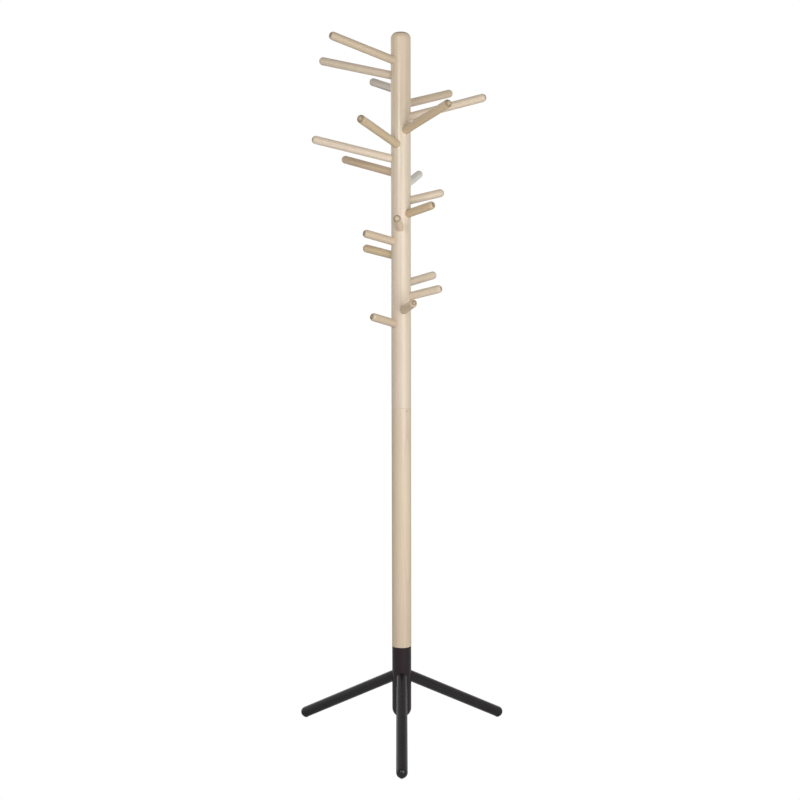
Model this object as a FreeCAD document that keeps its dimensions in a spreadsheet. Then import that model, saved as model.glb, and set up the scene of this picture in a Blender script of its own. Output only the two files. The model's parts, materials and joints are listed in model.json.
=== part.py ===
import FreeCAD, Part
import os
import Sketcher

# Standing coat rack: a round wooden pole in two sections, twenty turned pegs set in a
# falling spiral, and a round black steel hub with three straight legs.
# Millimetres. +Z is up, the pole's axis is X = Y = 0 and the feet stand on Z = 0.
# Headings are degrees anticlockwise from +X, seen from above. The front leg points to -Y.

doc = FreeCAD.newDocument("coat_rack")
sheet = doc.addObject("Spreadsheet::Sheet", "sizes")

SIZES = (
    ("overall_height", 1800, "floor to the top of the pole"),
    ("pole_diameter", 50, "both wooden sections"),
    ("crown_radius", 16, "rounding of the pole's top edge"),
    ("section_joint_height", 862, "floor to where the two wooden sections meet"),
    ("edge_chamfer", 0.6, "broken edges of the pole and the hub"),
    ("hub_diameter", 49.5, "steel hub, just under the pole"),
    ("hub_top_height", 240, "floor to the seam between wood and steel"),
    ("hub_bottom_height", 50.5, "floor to the lowest point of the round hub end"),
    ("top_peg_drop", 75.5, "pole's top down to where the top peg's axis meets the pole's axis"),
    ("peg_spacing", 34.4, "drop from one peg to the next"),
    ("first_peg_heading", 220.4, "heading of the top peg"),
    ("peg_turn", 56.4, "clockwise turn from one peg to the next"),
    ("peg_tilt", 13.3, "rise of every peg above level"),
    ("peg_diameter", 20.5, "pegs"),
    ("long_peg_reach", 224, "pole axis to tip, upper pegs"),
    ("short_peg_reach", 111.5, "pole axis to tip, lower pegs"),
    ("peg_seat_depth", 26, "peg inside the pole, along the peg, before its slip"),
    ("peg_end_chamfer", 1, "lead-in at the glued end"),
    ("glue_gap", 0.1, "room for glue round a peg and behind it"),
    ("leg_diameter", 28, "round steel legs"),
    ("leg_drop", 27.4, "slope of the legs below level"),
    ("foot_radius", 300.5, "pole axis to the centre of a round foot"),
    ("leg_seat_depth", 1.5, "depth of a leg's socket at its shallowest"),
    ("leg_clearance", 0.1, "round a leg in its socket"),
    ("glide_diameter", 10, "pad under each foot"),
    ("glide_thickness", 4, "height of the pad"),
    ("glide_stand", 0.4, "how far the pad stands below the round foot"),
    ("glide_chamfer", 0.3, "broken edge of the pad"),
    ("leg_stud_diameter", 8, "stud between leg and hub"),
    ("leg_stud_depth", 20, "stud inside the leg"),
    ("hub_web", 1.5, "steel left between the leg studs' holes"),
    ("pole_stud_diameter", 10, "studs in the pole's two joints"),
    ("insert_diameter", 15, "threaded inserts in the wood"),
    ("insert_length", 20, "threaded inserts in the wood"),
    ("insert_groove", 0.8, "depth of the rings on an insert"),
    ("insert_pitch", 3, "spacing of the rings on an insert"),
    ("insert_bore_depth", 26, "bore for an insert and the stud's end"),
    ("hub_stud_depth", 26, "pole stud inside the hub"),
    ("thread_gap", 0.1, "round studs and inserts in their holes"),
    ("end_room", 1, "left beyond the end of a stud"),
    ("stud_chamfer", 1, "stud ends"),
)

# The holes for the pegs wander a few degrees from the even spiral, top peg first.
PEG_STRAYS = (-5, -2, 3, 2, -3, 3, 1, 0, 4, 4, -6, -1, 1, 3, 3, 0, -4, -1, 2, -2)
# The pegs are cut to two lengths and glued a little deeper (-) or shallower (+) than the rule.
PEG_SLIPS = (-9, -1, -3, 2, -4, 4, -2, 5, 4, 1, 2, 0, 0, 0, -1, 0, -1, 0, 0, 0)
LONG_PEGS = 10
LEG_HEADINGS = {"front": 270, "rear_right": 30, "rear_left": 150}


def fill_sheet():
    for row, (name, value, note) in enumerate(SIZES, start=1):
        sheet.set(f"A{row}", name)
        sheet.set(f"B{row}", str(value))
        sheet.set(f"C{row}", note)
        sheet.setAlias(f"B{row}", name)
    doc.recompute()


fill_sheet()

# Expressions that several pieces share.
PEG_START = "(sizes.pole_diameter / 2 / cos(sizes.peg_tilt) - sizes.peg_seat_depth)"
LEG_AXIS_HEIGHT = ("(sizes.glide_stand + sizes.leg_diameter / 2"
                   " + sizes.foot_radius * tan(sizes.leg_drop))")
LEG_START = ("((sizes.hub_diameter / 2 - sizes.leg_seat_depth"
             " - sizes.leg_diameter / 2 * sin(sizes.leg_drop)) / cos(sizes.leg_drop))")
LEG_STUD_HOLE = "(sizes.leg_stud_diameter + 2 * sizes.thread_gap)"
LEG_STUD_HOLE_END = (f"(({LEG_STUD_HOLE} / 2 + sizes.hub_web)"
                     " / sin(60) / cos(sizes.leg_drop))")
INSERT_BORE = "(sizes.insert_diameter + 2 * sizes.thread_gap)"
POLE_STUD_HOLE = "(sizes.pole_stud_diameter + 2 * sizes.thread_gap)"


def new_body(label):
    body = doc.addObject("PartDesign::Body", label)
    body.Label = label
    return body


def origin_part(body, role):
    """The body's own origin plane or axis with this role."""
    return next(item for item in body.Origin.OriginFeatures if item.Role == role)


def attach(sketch, body, role):
    sketch.AttachmentSupport = [(origin_part(body, role), "")]
    sketch.MapMode = "FlatFace"


def circle_sketch(body, name, diameter, height="0"):
    """A circle round the body's Z axis, in the level plane at the given height."""
    sketch = body.newObject("Sketcher::SketchObject", name)
    attach(sketch, body, "XY_Plane")
    sketch.setExpression("AttachmentOffset.Base.z", height)
    sketch.addGeometry(Part.Circle(FreeCAD.Vector(), FreeCAD.Vector(0, 0, 1), 10), False)
    sketch.addConstraint(Sketcher.Constraint("Coincident", 0, 3, -1, 1))
    sketch.addConstraint(Sketcher.Constraint("Diameter", 0, 20))
    sketch.renameConstraint(1, "diameter")
    sketch.setExpression("Constraints.diameter", diameter)
    return sketch


def pad(body, name, diameter, length, height="0"):
    """A round bar that rises along the body's Z axis."""
    feature = body.newObject("PartDesign::Pad", name)
    feature.Profile = circle_sketch(body, name + "_circle", diameter, height)
    feature.setExpression("Length", length)
    doc.recompute()
    return feature


def check_cut(body, feature, before):
    """A cut that points away from its solid removes nothing and raises no error."""
    doc.recompute()
    if not body.Shape.Volume < before - 1e-3:
        raise RuntimeError(f"{body.Label}: {feature.Name} removed nothing")


def bore(body, name, diameter, depth, height="0", upward=True):
    """A round blind hole round the body's Z axis, from the given height."""
    before = body.Shape.Volume
    feature = body.newObject("PartDesign::Pocket", name)
    feature.Profile = circle_sketch(body, name + "_circle", diameter, height)
    feature.setExpression("Length", depth)
    feature.Reversed = upward
    check_cut(body, feature, before)


def circles(feature, radius):
    """Height and name of each of the feature's circular edges of this radius."""
    found = []
    for index, edge in enumerate(feature.Shape.Edges, start=1):
        if not edge.Degenerated and isinstance(edge.Curve, Part.Circle):
            if abs(edge.Curve.Radius - radius) < 1e-6:
                found.append((edge.Curve.Center.z, f"Edge{index}"))
    return found


def rims(feature, radius, height):
    return [name for level, name in circles(feature, radius) if abs(level - height) < 1e-6]


def dress(body, kind, name, base, edges, size):
    """A Chamfer or a Fillet of the base feature's edges."""
    feature = body.newObject("PartDesign::" + kind, name)
    feature.Base = (base, edges)
    feature.setExpression("Size" if kind == "Chamfer" else "Radius", size)
    doc.recompute()
    return feature


def value(name):
    return float(sheet.get(name))


def round_ended_bar(body, diameter, start, end):
    """A bar along Z with a flat end at start and a half-round tip that reaches end."""
    sketch = body.newObject("Sketcher::SketchObject", "profile")
    attach(sketch, body, "XZ_Plane")
    sketch.setExpression("AttachmentOffset.Base.y", start)
    corner = FreeCAD.Vector(10, 0, 0)
    shoulder = FreeCAD.Vector(10, 50, 0)
    tip = FreeCAD.Vector(0, 60, 0)
    centre = FreeCAD.Vector(0, 50, 0)
    circle = Part.Circle(centre, FreeCAD.Vector(0, 0, 1), 10)
    flat, side, dome, axis = 0, 1, 2, 3
    sketch.addGeometry(Part.LineSegment(FreeCAD.Vector(), corner), False)
    sketch.addGeometry(Part.LineSegment(corner, shoulder), False)
    sketch.addGeometry(Part.ArcOfCircle(circle, 0, 1.5707963), False)
    sketch.addGeometry(Part.LineSegment(tip, FreeCAD.Vector()), False)
    for first, first_end, second, second_end in (
            (flat, 1, -1, 1), (flat, 2, side, 1), (side, 2, dome, 1),
            (dome, 2, axis, 1), (axis, 2, flat, 1)):
        sketch.addConstraint(Sketcher.Constraint(
            "Coincident", first, first_end, second, second_end))
    sketch.addConstraint(Sketcher.Constraint("Horizontal", flat))
    sketch.addConstraint(Sketcher.Constraint("Vertical", side))
    sketch.addConstraint(Sketcher.Constraint("Vertical", axis))
    sketch.addConstraint(Sketcher.Constraint("PointOnObject", dome, 3, axis))
    sketch.addConstraint(Sketcher.Constraint("Horizontal", side, 2, dome, 3))
    radius = sketch.addConstraint(Sketcher.Constraint("Radius", dome, 10))
    sketch.renameConstraint(radius, "radius")
    length = sketch.addConstraint(Sketcher.Constraint("DistanceY", flat, 1, axis, 1, 60))
    sketch.renameConstraint(length, "length")
    sketch.setExpression("Constraints.length", f"{end} - {start}")
    sketch.setExpression("Constraints.radius", f"{diameter} / 2")
    feature = body.newObject("PartDesign::Revolution", "turned")
    feature.Profile = sketch
    feature.ReferenceAxis = (sketch, ["V_Axis"])
    feature.Angle = 360
    doc.recompute()
    return feature


def angled_hole(body, name, diameter, depth, placement):
    """A round hole at a slant, placed by an expression."""
    before = body.Shape.Volume
    feature = body.newObject("PartDesign::SubtractiveCylinder", name)
    feature.setExpression("Radius", f"{diameter} / 2")
    feature.setExpression("Height", depth)
    feature.setExpression("Placement", placement)
    check_cut(body, feature, before)


def stand_up(body, height):
    body.setExpression("Placement.Base.z", height)


# The pole: two turned sections, bored at their ends for threaded inserts.

def make_pole_section(label, length, height):
    body = new_body(label)
    pad(body, "blank", "sizes.pole_diameter", length)
    bore(body, "lower_bore", INSERT_BORE, "sizes.insert_bore_depth")
    stand_up(body, height)
    return body


def along(distance):
    """A shift along a piece's own Z axis."""
    return f"placement(vector(0; 0; {distance}); rotation(0; 0; 0))"


def peg_numbers():
    return range(1, len(PEG_STRAYS) + 1)


def peg_start(number):
    """Distance from the pole's axis to the peg's glued end, along the peg."""
    return f"({PEG_START} + {PEG_SLIPS[number - 1]})"


def peg_placement(number):
    """Origin where the peg's axis meets the pole's axis, and Z along the peg."""
    height = f"sizes.overall_height - sizes.top_peg_drop - sizes.peg_spacing * {number - 1}"
    heading = (f"sizes.first_peg_heading - sizes.peg_turn * {number - 1}"
               f" + {PEG_STRAYS[number - 1]}")
    return (f"placement(vector(0; 0; {height});"
            f" rotation({heading}; 90 - sizes.peg_tilt; 0))")


def make_peg_sockets():
    """Tools for the blind holes: each starts behind its peg's end and runs out of the pole."""
    tools = []
    for number in peg_numbers():
        tool = doc.addObject("Part::Cylinder", f"socket_{number:02d}")
        tool.setExpression("Radius", "sizes.peg_diameter / 2 + sizes.glue_gap")
        tool.setExpression("Height", "sizes.pole_diameter + sizes.peg_seat_depth")
        start = along(f"{peg_start(number)} - sizes.glue_gap")
        tool.setExpression("Placement", f"{peg_placement(number)} * {start}")
        tools.append(tool)
    sockets = doc.addObject("Part::MultiFuse", "peg_sockets")
    sockets.Shapes = tools
    doc.recompute()
    return sockets


def make_upper_section():
    length = "sizes.overall_height - sizes.section_joint_height"
    body = make_pole_section("upper_turning", length, "sizes.section_joint_height")
    radius = value("pole_diameter") / 2
    top = value("overall_height") - value("section_joint_height")
    crown = dress(body, "Fillet", "crown", body.Tip, rims(body.Tip, radius, top),
                  "sizes.crown_radius")
    dress(body, "Chamfer", "joint_edge", crown, rims(crown, radius, 0), "sizes.edge_chamfer")
    drilled = doc.addObject("Part::Cut", "pole_upper")
    drilled.Label = "pole_upper"
    drilled.Base = body
    drilled.Tool = make_peg_sockets()
    doc.recompute()
    return drilled


def make_lower_section():
    length = "sizes.section_joint_height - sizes.hub_top_height"
    body = make_pole_section("pole_lower", length, "sizes.hub_top_height")
    bore(body, "upper_bore", INSERT_BORE, "sizes.insert_bore_depth", length, False)
    radius = value("pole_diameter") / 2
    top = value("section_joint_height") - value("hub_top_height")
    ends = rims(body.Tip, radius, 0) + rims(body.Tip, radius, top)
    dress(body, "Chamfer", "end_edges", body.Tip, ends, "sizes.edge_chamfer")
    return body


def ring_sketch(body):
    """A square-cornered V that bites into an insert's side."""
    sketch = body.newObject("Sketcher::SketchObject", "ring_profile")
    attach(sketch, body, "XZ_Plane")
    sketch.setExpression("AttachmentOffset.Base.x", "sizes.insert_diameter / 2")
    sketch.setExpression("AttachmentOffset.Base.y", "sizes.insert_pitch")
    corners = (FreeCAD.Vector(0, -1, 0), FreeCAD.Vector(-1, 0, 0), FreeCAD.Vector(0, 1, 0))
    for first, second in zip(corners, corners[1:] + corners[:1]):
        sketch.addGeometry(Part.LineSegment(first, second), False)
    for side in range(3):
        sketch.addConstraint(Sketcher.Constraint("Coincident", side, 2, (side + 1) % 3, 1))
    sketch.addConstraint(Sketcher.Constraint("PointOnObject", 0, 1, -2))
    sketch.addConstraint(Sketcher.Constraint("Symmetric", 0, 1, 1, 2, -1, 1))
    sketch.addConstraint(Sketcher.Constraint("Perpendicular", 0, 1))
    depth = sketch.addConstraint(Sketcher.Constraint("DistanceX", 0, 2, -1, 1, 1))
    sketch.renameConstraint(depth, "depth")
    sketch.setExpression("Constraints.depth", "sizes.insert_groove")
    return sketch


def make_insert(label, height):
    """A threaded insert, its coarse outer thread shown as rings and its bore plain."""
    body = new_body(label)
    pad(body, "sleeve", "sizes.insert_diameter", "sizes.insert_length")
    before = body.Shape.Volume
    groove = body.newObject("PartDesign::Groove", "ring")
    groove.Profile = ring_sketch(body)
    groove.ReferenceAxis = (origin_part(body, "Z_Axis"), [""])
    groove.Angle = 360
    check_cut(body, groove, before)
    rings = body.newObject("PartDesign::LinearPattern", "rings")
    rings.Originals = [groove]
    rings.Direction = (origin_part(body, "Z_Axis"), [""])
    rings.setExpression("Length", "sizes.insert_length - 2 * sizes.insert_pitch")
    rings.Occurrences = max(2, round(value("insert_length") / value("insert_pitch")) - 1)
    body.Tip = rings
    doc.recompute()
    bore(body, "thread_bore", POLE_STUD_HOLE, "sizes.insert_length")
    stand_up(body, height)
    return body


def make_stud(label, diameter, length, start="0"):
    """A plain bar with chamfered ends, standing in for a threaded stud."""
    body = new_body(label)
    bar = pad(body, "bar", diameter, length, start)
    ends = [name for level, name in circles(bar, bar.Shape.BoundBox.XLength / 2)]
    dress(body, "Chamfer", "ends", bar, ends, "sizes.stud_chamfer")
    return body


def make_pole_joint():
    """Two inserts and a stud between the wooden sections."""
    joint = "sizes.section_joint_height"
    reach = "(sizes.insert_bore_depth - sizes.end_room)"
    stud = make_stud("joint_stud", "sizes.pole_stud_diameter", f"2 * {reach}")
    stand_up(stud, f"{joint} - {reach}")
    return [stud,
            make_insert("joint_insert_upper", joint),
            make_insert("joint_insert_lower", f"{joint} - sizes.insert_length")]


def make_base_joint():
    """One insert in the foot of the pole and the stud that stands in the hub."""
    wood = "(sizes.insert_bore_depth - sizes.end_room)"
    steel = "(sizes.hub_stud_depth - sizes.end_room)"
    stud = make_stud("hub_stud", "sizes.pole_stud_diameter", f"{wood} + {steel}")
    stand_up(stud, f"sizes.hub_top_height - {steel}")
    return [stud, make_insert("base_insert", "sizes.hub_top_height")]


def make_peg(number):
    body = new_body(f"peg_{number:02d}")
    reach = "sizes.long_peg_reach" if number <= LONG_PEGS else "sizes.short_peg_reach"
    tip = f"({reach} + {PEG_SLIPS[number - 1]})"
    bar = round_ended_bar(body, "sizes.peg_diameter", peg_start(number), tip)
    glued_end = min(circles(bar, value("peg_diameter") / 2))[1]
    dress(body, "Chamfer", "lead_in", bar, [glued_end], "sizes.peg_end_chamfer")
    body.setExpression("Placement", peg_placement(number))
    return body


# The base. The hub is modelled upside down, flat end at its origin, and turned over.

def make_hub():
    body = new_body("base_hub")
    bar = round_ended_bar(body, "sizes.hub_diameter", "0",
                          "(sizes.hub_top_height - sizes.hub_bottom_height)")
    rim = rims(bar, value("hub_diameter") / 2, 0)
    dress(body, "Chamfer", "top_edge", bar, rim, "sizes.edge_chamfer")
    bore(body, "stud_bore", POLE_STUD_HOLE, "sizes.hub_stud_depth")
    axis_depth = f"(sizes.hub_top_height - {LEG_AXIS_HEIGHT})"
    stud_depth = f"{LEG_START} - {LEG_STUD_HOLE_END} + sizes.leg_seat_depth"
    for side, heading in LEG_HEADINGS.items():
        leg_axis = (f"placement(vector(0; 0; {axis_depth});"
                    f" rotation({-heading}; 90 - sizes.leg_drop; 0))")
        angled_hole(body, f"socket_{side}", "(sizes.leg_diameter + 2 * sizes.leg_clearance)",
                    "sizes.hub_diameter", f"{leg_axis} * {along(LEG_START)}")
        angled_hole(body, f"stud_hole_{side}", LEG_STUD_HOLE, stud_depth,
                    f"{leg_axis} * {along(LEG_STUD_HOLE_END)}")
    body.setExpression("Placement",
                       "placement(vector(0; 0; sizes.hub_top_height); rotation(0; 0; 180))")
    return body


def leg_placement(heading):
    """Origin where the leg's axis meets the pole's axis, and Z along the leg."""
    return (f"placement(vector(0; 0; {LEG_AXIS_HEIGHT});"
            f" rotation({heading}; 90 + sizes.leg_drop; 0))")


def make_leg(side, heading):
    """The leg, its stud and the pad under its foot."""
    leg = new_body(f"leg_{side}")
    foot = "(sizes.foot_radius / cos(sizes.leg_drop))"
    round_ended_bar(leg, "sizes.leg_diameter", LEG_START, f"({foot} + sizes.leg_diameter / 2)")
    bore(leg, "stud_bore", LEG_STUD_HOLE, "sizes.leg_stud_depth", LEG_START)
    above_pad = "(sizes.leg_diameter / 2 + sizes.glide_stand - sizes.glide_thickness)"
    angled_hole(leg, "glide_recess", "(sizes.glide_diameter + 2 * sizes.thread_gap)",
                "sizes.leg_diameter",
                f"placement(vector(cos(sizes.leg_drop) * {above_pad}; 0;"
                f" {foot} + sin(sizes.leg_drop) * {above_pad});"
                " rotation(0; 90 - sizes.leg_drop; 0))")
    leg.setExpression("Placement", leg_placement(heading))

    stud_start = f"({LEG_STUD_HOLE_END} + sizes.end_room / 2)"
    stud_end = f"({LEG_START} + sizes.leg_stud_depth - sizes.end_room)"
    stud = make_stud(f"leg_stud_{side}", "sizes.leg_stud_diameter",
                     f"{stud_end} - {stud_start}", stud_start)
    stud.setExpression("Placement", leg_placement(heading))

    glide = new_body(f"glide_{side}")
    disc = pad(glide, "disc", "sizes.glide_diameter", "sizes.glide_thickness")
    dress(glide, "Chamfer", "edge", disc, rims(disc, value("glide_diameter") / 2, 0),
          "sizes.glide_chamfer")
    glide.setExpression("Placement.Base.x", f"sizes.foot_radius * cos({heading})")
    glide.setExpression("Placement.Base.y", f"sizes.foot_radius * sin({heading})")
    return [leg, stud, glide]


def check_document(pieces):
    doc.recompute()
    for item in doc.Objects:
        if "Invalid" in item.State or "Error" in item.State:
            raise RuntimeError(f"{item.Label} did not build: {item.State}")
    for piece in pieces:
        if piece.Shape.isNull() or not piece.Shape.isValid():
            raise RuntimeError(f"{piece.Label} has no valid shape")
        if len(piece.Shape.Solids) != 1:
            raise RuntimeError(f"{piece.Label} is not one solid")


def write_steps(pieces):
    os.makedirs("parts", exist_ok=True)
    for piece in pieces:
        piece.Shape.exportStep(f"parts/{piece.Label}.step")
        print(f"{piece.Label}: {piece.Shape.Volume / 1000:.1f} cm3")


pieces = [make_upper_section(), make_lower_section()]
pieces += make_pole_joint()
pieces += make_base_joint()
pieces += [make_peg(number) for number in peg_numbers()]
pieces.append(make_hub())
for side, heading in LEG_HEADINGS.items():
    pieces += make_leg(side, heading)
check_document(pieces)
write_steps(pieces)
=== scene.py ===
import json
import math
import bpy
from mathutils import Euler, Matrix, Vector


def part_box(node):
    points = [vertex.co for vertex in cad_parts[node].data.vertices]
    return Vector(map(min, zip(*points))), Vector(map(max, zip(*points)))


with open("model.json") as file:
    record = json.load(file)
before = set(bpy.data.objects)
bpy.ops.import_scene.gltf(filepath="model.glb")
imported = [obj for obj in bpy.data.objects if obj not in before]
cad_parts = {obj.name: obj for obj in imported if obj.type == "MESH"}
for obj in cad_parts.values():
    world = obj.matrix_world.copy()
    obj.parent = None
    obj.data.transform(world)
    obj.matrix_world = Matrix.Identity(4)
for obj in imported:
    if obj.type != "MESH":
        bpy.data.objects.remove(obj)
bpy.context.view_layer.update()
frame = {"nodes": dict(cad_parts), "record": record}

# Standing coat rack, in metres: the pole's axis is X = Y = 0, +Z is up and the front leg points
# to -Y.

nodes = frame["nodes"]
mounts = {mount["name"]: mount for mount in frame["record"]["mounts"]}
print("frame loaded,", len(nodes), "pieces")


# Shader graphs. A Wire is one socket's value, and maths on it adds the Math nodes.

class Wire:
    def __init__(self, graph, socket):
        self.graph = graph
        self.socket = socket

    def __add__(self, other):
        return self.graph.maths("ADD", self, other)

    def __sub__(self, other):
        return self.graph.maths("SUBTRACT", self, other)

    def __rsub__(self, other):
        return self.graph.maths("SUBTRACT", other, self)

    def __mul__(self, other):
        return self.graph.maths("MULTIPLY", self, other)

    def __truediv__(self, other):
        return self.graph.maths("DIVIDE", self, other)

    def __rtruediv__(self, other):
        return self.graph.maths("DIVIDE", other, self)

    def __pow__(self, other):
        return self.graph.maths("POWER", self, other)

    def __rpow__(self, other):
        return self.graph.maths("POWER", other, self)

    __radd__ = __add__
    __rmul__ = __mul__


class Graph:
    def __init__(self, tree):
        self.tree = tree
        self.tree.nodes.clear()

    # Any node: its settings first, then its sockets by name or number, and one output.
    def node(self, kind, settings, sockets, output=0):
        made = self.tree.nodes.new("ShaderNode" + kind)
        for key, value in settings.items():
            setattr(made, key, value)
        for key, value in sockets.items():
            if isinstance(value, Wire):
                self.tree.links.new(value.socket, made.inputs[key])
            else:
                made.inputs[key].default_value = value
        return Wire(self, made.outputs[output]) if made.outputs else None

    def maths(self, operation, *values):
        return self.node("Math", {"operation": operation}, dict(enumerate(values)))

    # A value carried smoothly from one range to another, held at both ends.
    def span(self, value, low, high, toLow=0.0, toHigh=1.0):
        return self.node("MapRange", {"interpolation_type": "SMOOTHSTEP"},
                         {"Value": value, "From Min": low, "From Max": high,
                          "To Min": toLow, "To Max": toHigh})

    def mix(self, factor, first, second, blend="MIX"):
        return self.node("Mix", {"data_type": "RGBA", "blend_type": blend},
                         {0: factor, 6: first, 7: second}, 2)

    def tinted(self, colour, tint):
        return self.mix(1.0, colour, tint, "MULTIPLY")

    # Noise stretched by a Mapping node: scale is in waves to the metre along each axis.
    def noise(self, vector, scale, detail=2.0, roughness=0.5):
        stretched = self.node("Mapping", {}, {"Vector": vector, "Scale": scale})
        return self.node("TexNoise", {}, {"Vector": stretched, "Scale": 1.0, "Detail": detail,
                                          "Roughness": roughness})

    def part(self, vector, index):
        return self.node("SeparateXYZ", {}, {"Vector": vector}, index)

    def bump(self, height, strength, distance):
        return self.node("Bump", {}, {"Strength": strength, "Distance": distance,
                                      "Height": height})


def rgb(red, green, blue):
    return (red, green, blue, 1.0)


def newGraph(name):
    material = bpy.data.materials.new(name)
    material.use_nodes = True
    return material, Graph(material.node_tree)


def closeGraph(graph, sockets):
    surface = graph.node("BsdfPrincipled", {}, sockets)
    graph.node("OutputMaterial", {}, {"Surface": surface})


def dressNode(name, material):
    for slot in nodes[name].material_slots:
        slot.material = material


wood = {
    "pale": rgb(0.715, 0.590, 0.462),
    "dark": rgb(0.585, 0.462, 0.340),
    "rosy": rgb(1.0, 0.965, 0.95),
    "straw": rgb(0.975, 0.985, 0.925),
    # The end tint: darker end grain, with painted shade where the ends' outlines fall.
    "endGrainAndShade": rgb(0.46, 0.44, 0.42),
    "knot": rgb(0.91, 0.89, 0.86),
    "ring": 0.0026,        # spacing of the growth rings
    "wander": 0.016,       # how far they stray from true circles
    "bulge": 0.0035,       # and how far a knot pushes them out
    "knotHeight": 0.7,     # of its width
    "rim": 0.35,           # how much of the darkened end, end grain and painted shade, is left at the very end
    "roughness": 0.46,
    "ior": 1.5,
    "bump": (0.35, 0.0002),    # strength and height
    # Waves to the metre, twice across the grain and once along it.
    "waves": {
        "wander": (9.0, 9.0, 1.6),
        "fibre": (1500.0, 1500.0, 45.0),
        "streak": (240.0, 240.0, 5.0),
        "patch": (22.0, 22.0, 7.0),
        "hue": (70.0, 70.0, 3.5),
        "fleck": (1900.0, 1900.0, 210.0),
    },
    # Where in its pattern each change begins and ends.
    "spans": {
        "early": (0.35, 0.97),     # a ring darkens slowly outwards
        "late": (0.97, 1.0),       # and ends sharply
        "bulge": (0.6, 3.0),       # in radii from the middle of a knot
        "knot": (0.4, 1.1),
        "fleck": (0.66, 0.74),
        "hue": (0.3, 0.7),
        "shade": (0.28, 1.05),
    },
    # How much each pattern darkens, roughens and raises the wood.
    "darkens": {"ring": 0.22, "fibre": 0.22, "streak": 0.36, "patch": 0.34, "fleck": 0.20},
    "roughens": {"fibre": 0.12, "ring": -0.04, "end": 0.12},
    "raises": {"fibre": 0.6, "fleck": -0.5, "ring": -0.15},
}


def addUp(patterns, shares):
    first, *rest = [patterns[name] * share for name, share in shares.items()]
    return sum(rest, first)


# Growth rings round the pith, each rising from 0 to 1, and the masks of the knots that
# push them out.
def growRings(graph, coordinates, grain, knots):
    spans = wood["spans"]
    across = graph.part(grain, 0)
    deep = graph.part(grain, 1)
    radius = ((across * across + deep * deep) ** 0.5
              + graph.noise(grain, wood["waves"]["wander"]) * wood["wander"])
    masks = []
    for spot, size in knots:
        flat = graph.node("Mapping", {"vector_type": "TEXTURE"},
                          {"Vector": coordinates, "Location": spot,
                           "Scale": (size, size, size * wood["knotHeight"])})
        away = graph.node("VectorMath", {"operation": "LENGTH"}, {0: flat}, "Value")
        radius = radius + graph.span(away, *spans["bulge"], wood["bulge"], 0.0)
        masks.append(graph.span(away, *spans["knot"], 1.0, 0.0))
    phase = graph.maths("FRACT", radius / wood["ring"])
    ring = graph.span(phase, *spans["early"]) * graph.span(phase, *spans["late"], 1.0, 0.0)
    return ring, masks


# The piece's tone, which drifts from one to the next along the grain.
def driftTone(graph, along, tones):
    (reached, tone), *rest = tones
    tone = rgb(*tone)
    for distance, nextTone in rest:
        tone = graph.mix(graph.span(along, reached, distance), tone, rgb(*nextTone))
        reached = distance
    return tone


# Solid wood: rings round a pith that lies beside the piece, so that sides show long grain
# and ends show arcs. A piece says where its grain starts and runs (place, axis), how far
# along it the wood ends (tip) and the depths from there between which the end is darkened,
# as end grain and painted shade, its tones at distances along the grain, and its knots, each
# a place and a radius.
def makeWood(name, piece):
    material, graph = newGraph(name)
    turn = Vector(piece["axis"]).to_track_quat("Z", "Y").to_euler()
    coordinates = graph.node("TexCoord", {}, {}, "Object")
    local = graph.node("Mapping", {"vector_type": "TEXTURE"},
                       {"Vector": coordinates, "Location": piece["place"], "Rotation": turn})
    along = graph.part(local, 2)
    pithX, pithY = piece["pith"]
    grain = graph.node("Mapping", {}, {"Vector": local,
                                       "Location": (pithX, pithY, piece["seed"])})

    ring, knots = growRings(graph, coordinates, grain, piece["knots"])
    waves, spans = wood["waves"], wood["spans"]
    hue = graph.span(graph.noise(grain, waves["hue"]), *spans["hue"])
    outer, inner = piece["endGrainAndShade"]
    depth = piece["tip"] - along
    patterns = {
        "ring": ring,
        "fibre": graph.noise(grain, waves["fibre"], 3.0, 0.6),
        "streak": graph.noise(grain, waves["streak"]),
        "patch": graph.noise(grain, waves["patch"]),
        "fleck": graph.span(graph.noise(grain, waves["fleck"], 1.0), *spans["fleck"]),
        "end": (graph.span(depth, 0.0, outer, wood["rim"], 1.0)
                * graph.span(depth, inner, inner * 2, 1.0, 0.0)),
    }

    shade = graph.span(addUp(patterns, wood["darkens"]), *spans["shade"])
    colour = graph.mix(shade, wood["pale"], wood["dark"])
    colour = graph.tinted(colour, graph.mix(hue, wood["rosy"], wood["straw"]))
    colour = graph.tinted(colour, driftTone(graph, along, piece["tones"]))
    # The darkened end: end grain, and painted shade along the end's outline.
    colour = graph.mix(patterns["end"], colour, graph.tinted(colour, wood["endGrainAndShade"]))
    for knot in knots:
        colour = graph.mix(knot, colour, graph.tinted(colour, wood["knot"]))

    closeGraph(graph, {
        "Base Color": colour,
        "Roughness": wood["roughness"] + addUp(patterns, wood["roughens"]),
        "Coat Weight": piece["coat"],
        "Coat Roughness": piece["coatRoughness"],
        "IOR": wood["ior"],
        "Normal": graph.bump(addUp(patterns, wood["raises"]), *wood["bump"]),
    })
    return material


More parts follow.
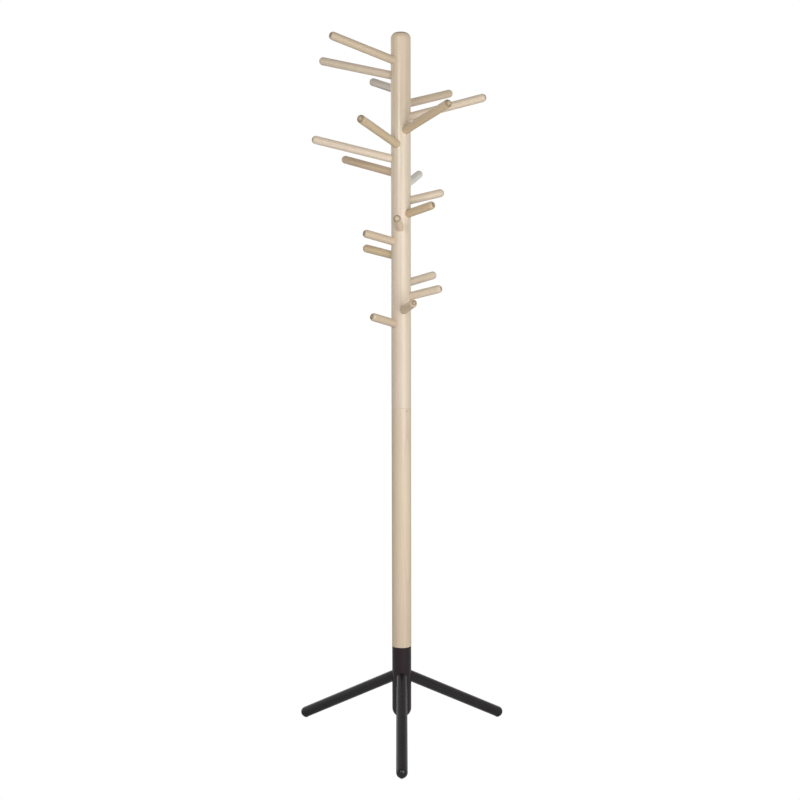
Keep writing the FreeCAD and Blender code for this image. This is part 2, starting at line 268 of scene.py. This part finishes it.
pole = {
    "place": (0.0, 0.0, 0.0),
    "axis": (0.0, 0.0, 1.0),
    "tip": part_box("pole_upper")[1][2],
    "endGrainAndShade": (0.0005, 0.003),
    "coat": 0.5,
    "coatRoughness": 0.22,
}
poleUpper = {
    "pith": (0.055, 0.030),
    "seed": 0.0,
    # Paler and bluer below 1.5 m: partly the wood's tone, partly a painted highlight's whitening.
    "tones": [(1.50, (1.00, 1.04, 1.08)), (1.66, (1.00, 0.995, 0.98))],
    "knots": [],
}
poleLower = {
    "pith": (-0.040, 0.050),
    "seed": 3.0,
    "tones": [(0.60, (1.02, 1.02, 0.995)), (0.80, (0.98, 0.985, 0.99))],
    "knots": [((0.0145, -0.0204, 0.8545), 0.0065), ((-0.0120, 0.0219, 0.5210), 0.0055)],
}
dressNode("pole_upper", makeWood("birchUpper", {**pole, **poleUpper}))
dressNode("pole_lower", makeWood("birchLower", {**pole, **poleLower}))
print("pole dressed")

peg = {
    "knots": [],
    "coat": 0.3,
    "coatRoughness": 0.3,
}
pegTones = {
    "pale": (1.04, 1.08, 1.12),
    "light": (0.96, 0.98, 1.00),
    "middle": (0.88, 0.87, 0.84),
    "straw": (1.17, 1.16, 1.11),
    "cream": (1.08, 1.07, 1.03),
    "tan": (1.03, 0.96, 0.86),
    "fawn": (0.96, 0.91, 0.87),
    "honey": (0.90, 0.87, 0.74),
    "amber": (0.84, 0.80, 0.68),
    # Grey and silver are painted sheen: the bright backdrop's reflection on pegs that point away,
    # put in as a paler colour.
    "backdropSheenGrey": (0.98, 1.06, 1.14),
    "backdropSheenSilver": (1.20, 1.42, 1.70),
}
# Which tone each peg takes, top peg first: the wood it was turned from, with some pegs made
# lighter or darker for the light on them, as painted light; grey and silver are painted sheen.
pegTonePick = ("middle", "light", "backdropSheenGrey", "cream", "light", "honey", "honey", "pale", "tan", "backdropSheenSilver",
            "light", "amber", "straw", "middle", "honey", "middle", "light", "light", "fawn",
            "middle")
# The pegs whose shoulder, not whose very tip, is darkened: painted shade, a dark ring where the
# dome's outline falls.
ringed = (6, 7, 9, 13)
# Depths of the darkened band from the tip: a painted shade ring on the shoulder, and end grain
# with painted shade at the tip.
shoulderShadeRing = (0.0025, 0.0045)
tipEndGrainAndShade = (0.0007, 0.0015)
for number, pegToneName in enumerate(pegTonePick, start=1):
    name = f"peg_{number:02d}"
    hook = mounts[f"hook_{number:02d}"]
    middle, axis = Vector(hook["pos_m"]), Vector(hook["axis"])
    # Each peg is cut from its own place beside the pith.
    pith = (0.02 + 0.013 * math.sin(number * 2.1), 0.025 * math.cos(number * 1.3))
    dressNode(name, makeWood(f"birchPeg{number:02d}", {
        **peg,
        "place": middle,
        "axis": axis,
        "pith": pith,
        "seed": number * 0.7,
        "tip": max((vertex.co - middle).dot(axis) for vertex in nodes[name].data.vertices),
        "endGrainAndShade": shoulderShadeRing if number in ringed else tipEndGrainAndShade,
        "tones": [(0.0, pegTones[pegToneName])],
    }))
print("pegs dressed")


powder = {
    "colour": rgb(0.0080, 0.0054, 0.0060),
    "worn": rgb(0.0110, 0.0084, 0.0090),
    "roughness": 0.19,
    "plum": rgb(1.0, 0.79, 0.87),     # tint of the hub's gloss
    "plain": rgb(1.0, 1.0, 1.0),      # and of the legs'
    "peel": (1100.0, 1100.0, 1100.0),    # waves to the metre
    "cloud": (24.0, 24.0, 24.0),
    "wear": (0.35, 0.7),              # where in the clouds the coat turns worn
    "roughening": 0.08,
    "bump": (0.22, 0.0002),           # strength and height
}


def makePowderCoat(name, gloss):
    material, graph = newGraph(name)
    coordinates = graph.node("TexCoord", {}, {}, "Object")
    peel = graph.noise(coordinates, powder["peel"], 2.0, 0.55)
    cloud = graph.noise(coordinates, powder["cloud"], 3.0)
    closeGraph(graph, {
        "Base Color": graph.mix(graph.span(cloud, *powder["wear"]), powder["colour"],
                                powder["worn"]),
        "Roughness": powder["roughness"] + cloud * powder["roughening"],
        "Specular Tint": gloss,
        "Normal": graph.bump(peel, *powder["bump"]),
    })
    return material


dressNode("base_hub", makePowderCoat("blackHubCoat", powder["plum"]))
legCoat = makePowderCoat("blackLegCoat", powder["plain"])
for name in ("leg_front", "leg_rear_right", "leg_rear_left"):
    dressNode(name, legCoat)
print("base dressed")


# Fittings and pads. Their fine speckles, in waves to the metre, dull and roughen them.
fittings = {
    "zincPlate": {"colour": (0.62, 0.63, 0.65), "roughness": 0.25, "metallic": 1.0,
                  "speckles": 900.0},
    "brass": {"colour": (0.74, 0.56, 0.27), "roughness": 0.25, "metallic": 1.0,
              "speckles": 700.0},
    "glideRubber": {"colour": (0.66, 0.64, 0.60), "roughness": 0.4, "metallic": 0.0,
                    "speckles": 1500.0},
}
speckling = {"dulling": 0.8, "roughening": 0.15, "bump": (0.2, 0.0001)}


def makeSpeckled(name):
    look = fittings[name]
    material, graph = newGraph(name)
    coordinates = graph.node("TexCoord", {}, {}, "Object")
    speckle = graph.noise(coordinates, (look["speckles"],) * 3, 3.0)
    dull = rgb(*[part * speckling["dulling"] for part in look["colour"]])
    closeGraph(graph, {
        "Base Color": graph.mix(speckle, rgb(*look["colour"]), dull),
        "Roughness": look["roughness"] + speckle * speckling["roughening"],
        "Metallic": look["metallic"],
        "Normal": graph.bump(speckle, *speckling["bump"]),
    })
    return material


zinc = makeSpeckled("zincPlate")
brass = makeSpeckled("brass")
rubber = makeSpeckled("glideRubber")
for name in nodes:
    if "insert" in name:
        dressNode(name, brass)
    elif "stud" in name:
        dressNode(name, zinc)
    elif name.startswith("glide"):
        dressNode(name, rubber)
print("fittings and pads dressed")


# Stage, light and camera.

studio = {
    "white": rgb(1.0, 1.0, 1.0),
    "seen": 1.01,          # strength of floor and backdrop where the camera looks at them
    "floor": rgb(0.75, 0.75, 0.75),
    "front": 0.41,         # strength of the room's own light, from the camera's side,
    "side": 0.92,          # from both sides
    "behind": 1.1,         # and from straight behind,
    "ceiling": 0.50,       # how much of it is left overhead,
    "left": 1.33,          # and how much more comes from the left
    # Where one turns into the next, as the X, Y or Z of a unit direction.
    "frontToSide": (-0.5, 0.5),
    "sideToBehind": (0.72, 0.93),
    "wallToCeiling": (0.1, 0.5),
    "leftToRight": (-0.7, 0.5),
    "floorSize": 60.0,
}

bpy.ops.object.select_all(action="DESELECT")
bpy.ops.mesh.primitive_plane_add(size=studio["floorSize"], location=(0.0, 0.0, 0.0))
floor = bpy.context.object
floor.name = "floor"
floorPaint, graph = newGraph("paleFloor")
straight = graph.node("LightPath", {}, {}, "Is Camera Ray")
paint = graph.node("BsdfDiffuse", {}, {"Color": studio["floor"]})
glow = graph.node("Emission", {}, {"Color": studio["white"], "Strength": studio["seen"]})
graph.node("OutputMaterial", {}, {
    "Surface": graph.node("MixShader", {}, {0: straight, 1: paint, 2: glow})})
floor.data.materials.append(floorPaint)

world = bpy.data.worlds.new("studio")
bpy.context.scene.world = world
world.use_nodes = True
graph = Graph(world.node_tree)
straight = graph.node("LightPath", {}, {}, "Is Camera Ray")
direction = graph.node("TexCoord", {}, {}, "Generated")
right, back, up = [graph.part(direction, index) for index in range(3)]
room = (graph.span(back, *studio["frontToSide"], studio["front"], studio["side"])
        + graph.span(back, *studio["sideToBehind"]) * (studio["behind"] - studio["side"]))
room = room * graph.span(up, *studio["wallToCeiling"], 1.0, studio["ceiling"])
room = room * graph.span(right, *studio["leftToRight"], studio["left"], 1.0)
strength = room * (1 - straight) + straight * studio["seen"]
backdrop = graph.node("Background", {}, {"Color": studio["white"], "Strength": strength})
graph.node("OutputWorld", {}, {"Surface": backdrop})

lamps = {
    "rightBox": {"place": (0.78, -1.45, 1.08), "target": (0.0, 0.0, 0.97),
                 "size": (1.10, 1.50), "watts": 18.5},
    "leftBox": {"place": (-0.75, -2.05, 1.78), "target": (0.0, 0.0, 1.54),
                "size": (0.25, 0.50), "watts": 11.5},
}
for name, lamp in lamps.items():
    data = bpy.data.lights.new(name, "AREA")
    data.shape = "RECTANGLE"
    data.size, data.size_y = lamp["size"]
    data.energy = lamp["watts"]
    body = bpy.data.objects.new(name, data)
    bpy.context.scene.collection.objects.link(body)
    body.location = lamp["place"]
    aim = Vector(lamp["target"]) - Vector(lamp["place"])
    body.rotation_euler = aim.to_track_quat("-Z", "Y").to_euler()

view = {
    "place": (0.0, -3.439, 1.209),
    "pitch": 5.45,         # degrees below level
    "roll": -0.098,
    "lens": 60.9,
    "sensor": 36.0,
    "shift": (-0.0016, -0.00005),
}
cameraData = bpy.data.cameras.new("camera")
cameraData.lens = view["lens"]
cameraData.sensor_width = view["sensor"]
cameraData.shift_x, cameraData.shift_y = view["shift"]
camera = bpy.data.objects.new("camera", cameraData)
bpy.context.scene.collection.objects.link(camera)
camera.location = view["place"]
level = Euler((math.radians(90.0 - view["pitch"]), 0.0, 0.0)).to_matrix()
roll = Matrix.Rotation(math.radians(view["roll"]), 3, "Z")
camera.rotation_euler = (level @ roll).to_euler()
bpy.context.scene.camera = camera
bpy.context.scene.view_settings.view_transform = "Standard"
print("stage, light and camera set")
